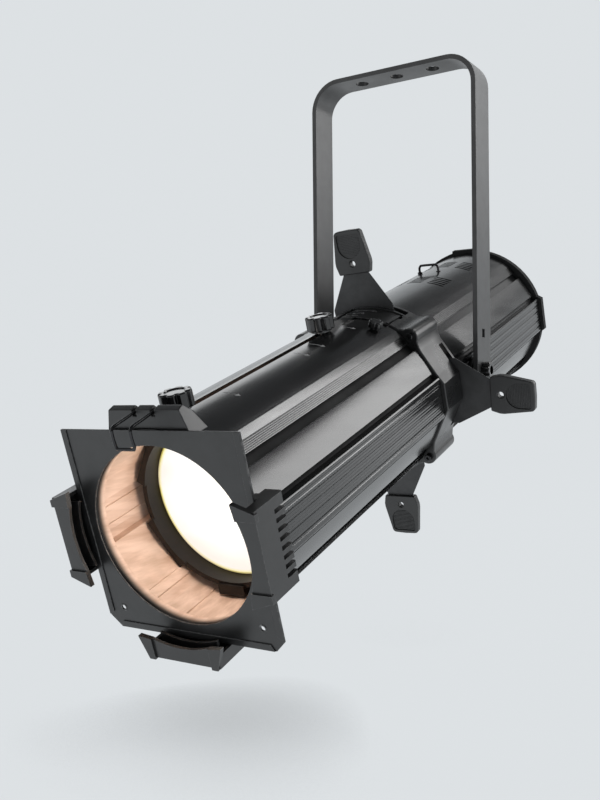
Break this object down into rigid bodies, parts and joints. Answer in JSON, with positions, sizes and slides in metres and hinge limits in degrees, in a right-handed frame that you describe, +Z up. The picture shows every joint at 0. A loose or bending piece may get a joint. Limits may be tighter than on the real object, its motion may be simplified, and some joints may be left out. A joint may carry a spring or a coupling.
{
  "type": "ellipsoidal spotlight",
  "caption": "Stage profile spotlight in a U yoke: zoom lens tube with locking knobs, shutter gate with four blades, colour frame holders and a ribbed LED housing.",
  "frame": {"origin": "centre of the middle clamp hole in the yoke, on the upper face", "axes": "+X to the right along the tilt axis seen from the front, -Y towards the light beam side, +Z up; the lamp rests 18.9 degrees nose down"},
  "size_m": [0.3088, 0.6373, 0.5173],
  "materials": {
    "casing": "satin black paint on extruded and cast aluminium",
    "sheet": "satin black paint on sheet steel",
    "yoke": "satin dark grey powder coat",
    "plastic": "moulded matte black",
    "rubber": "matte",
    "blade": "blackened steel",
    "steel": "zinc plated",
    "aluminium": "plain",
    "glass": "polished",
    "board": "circuit board",
    "emitter": "phosphor",
    "display": "polished"
  },
  "bodies": {
    "yoke": {"yoke_bar": "yoke", "friction_washer_left": "rubber", "friction_washer_right": "rubber"},
    "lamp": {"lens_tube": "casing", "front_bezel": "casing", "gate_housing": "casing", "pattern_cover": "casing", "rear_housing": "casing", "rear_cap": "casing", "rear_panel": "sheet", "holder_right": "plastic", "holder_bottom": "plastic", "holder_left": "plastic", "latch_block": "plastic", "fan_frame": "plastic", "power_inlet": "plastic", "power_outlet": "plastic", "data_inlet": "plastic", "data_outlet": "plastic", "fuse_holder": "plastic", "pattern_holder": "blade", "gate_plate": "blade", "ring_screw_1": "steel", "ring_screw_2": "steel", "ring_screw_3": "steel", "ring_screw_4": "steel", "safety_loop": "steel", "power_supply": "steel", "heat_sink": "aluminium", "reflector": "aluminium", "condenser_lens": "glass", "led_board": "board", "driver_board": "board", "led_emitter": "emitter", "display_window": "display"},
    "tilt_knob_right": {"tilt_knob_right": "plastic"},
    "tilt_knob_left": {"tilt_knob_left": "plastic"},
    "colour_frame": {"colour_frame": "sheet"},
    "frame_bail": {"frame_bail": "steel"},
    "focus_carriage": {"focus_carrier": "plastic", "focus_lens": "glass"},
    "focus_knob": {"focus_knob": "plastic"},
    "zoom_carriage": {"zoom_carrier": "plastic", "zoom_lens": "glass"},
    "zoom_knob": {"zoom_knob": "plastic"},
    "lock_screw": {"lock_screw": "plastic"},
    "fan_rotor": {"fan_rotor": "plastic"},
    "shutter_top": {"shutter_blade_top": "blade", "shutter_grip_top": "plastic"},
    "shutter_right": {"shutter_blade_right": "blade", "shutter_grip_right": "plastic"},
    "shutter_left": {"shutter_blade_left": "blade", "shutter_grip_left": "plastic"},
    "shutter_bottom": {"shutter_blade_bottom": "blade", "shutter_grip_bottom": "plastic"},
    "menu_button_1": {"menu_button_1": "rubber"},
    "menu_button_2": {"menu_button_2": "rubber"},
    "menu_button_3": {"menu_button_3": "rubber"},
    "menu_button_4": {"menu_button_4": "rubber"}
  },
  "joints": [
    {"name": "tilt", "type": "hinge", "parent": "yoke", "child": "lamp", "pos_m": [0, 0, -0.3046], "axis": [1, 0, 0], "range_deg": [-50, 90]},
    {"name": "tilt_knob_right_turn", "type": "hinge", "parent": "lamp", "child": "tilt_knob_right", "pos_m": [0.095, 0, -0.3046], "axis": [1, 0, 0], "range_deg": [0, 180]},
    {"name": "tilt_knob_left_turn", "type": "hinge", "parent": "lamp", "child": "tilt_knob_left", "pos_m": [-0.095, 0, -0.3046], "axis": [-1, 0, 0], "range_deg": [0, 180]},
    {"name": "colour_frame_lift", "type": "slide", "parent": "lamp", "child": "colour_frame", "axis": [0, -0.3239, 0.9461], "range_m": [0, 0.008]},
    {"name": "frame_bail_open", "type": "hinge", "parent": "lamp", "child": "frame_bail", "pos_m": [0, -0.37604, -0.33621], "axis": [1, 0, 0], "range_deg": [-110, 0]},
    {"name": "focus_travel", "type": "slide", "parent": "lamp", "child": "focus_carriage", "axis": [0, 0.9461, 0.3239], "range_m": [0, 0.074]},
    {"name": "focus_knob_turn", "type": "hinge", "parent": "focus_carriage", "child": "focus_knob", "pos_m": [0, -0.34639, -0.33018], "axis": [0, -0.3239, 0.9461], "range_deg": [0, 180]},
    {"name": "zoom_travel", "type": "slide", "parent": "lamp", "child": "zoom_carriage", "axis": [0, -0.9461, -0.3239], "range_m": [0, 0.08]},
    {"name": "zoom_knob_turn", "type": "hinge", "parent": "zoom_carriage", "child": "zoom_knob", "pos_m": [0, -0.15339, -0.2641], "axis": [0, -0.3239, 0.9461], "range_deg": [0, 180]},
    {"name": "shutter_top_push", "type": "slide", "parent": "lamp", "child": "shutter_top", "axis": [0.0419, 0.3236, -0.9453], "range_m": [0, 0.026]},
    {"name": "shutter_right_push", "type": "slide", "parent": "lamp", "child": "shutter_right", "axis": [-0.9969, -0.0254, 0.0742], "range_m": [0, 0.026]},
    {"name": "shutter_left_push", "type": "slide", "parent": "lamp", "child": "shutter_left", "axis": [0.9994, -0.0113, 0.033], "range_m": [0, 0.026]},
    {"name": "shutter_bottom_push", "type": "slide", "parent": "lamp", "child": "shutter_bottom", "axis": [0, -0.3239, 0.9461], "range_m": [0, 0.031]},
    {"name": "lock_screw_turn", "type": "hinge", "parent": "lamp", "child": "lock_screw", "pos_m": [0.03465, -0.11584, -0.26571], "axis": [0.4226, -0.2936, 0.8574], "range_deg": [0, 180]},
    {"name": "fan_spin", "type": "hinge", "parent": "lamp", "child": "fan_rotor", "pos_m": [0, 0.1684, -0.24694], "axis": [0, 0.9461, 0.3239], "continuous": true},
    {"name": "menu_button_1_press", "type": "slide", "parent": "lamp", "child": "menu_button_1", "axis": [0, -0.9461, -0.3239], "range_m": [0, 0.001], "stiffness_N_per_m": 300, "springref_m": -0.0005},
    {"name": "menu_button_2_press", "type": "slide", "parent": "lamp", "child": "menu_button_2", "axis": [0, -0.9461, -0.3239], "range_m": [0, 0.001], "stiffness_N_per_m": 300, "springref_m": -0.0005},
    {"name": "menu_button_3_press", "type": "slide", "parent": "lamp", "child": "menu_button_3", "axis": [0, -0.9461, -0.3239], "range_m": [0, 0.001], "stiffness_N_per_m": 300, "springref_m": -0.0005},
    {"name": "menu_button_4_press", "type": "slide", "parent": "lamp", "child": "menu_button_4", "axis": [0, -0.9461, -0.3239], "range_m": [0, 0.001], "stiffness_N_per_m": 300, "springref_m": -0.0005}
  ]
}
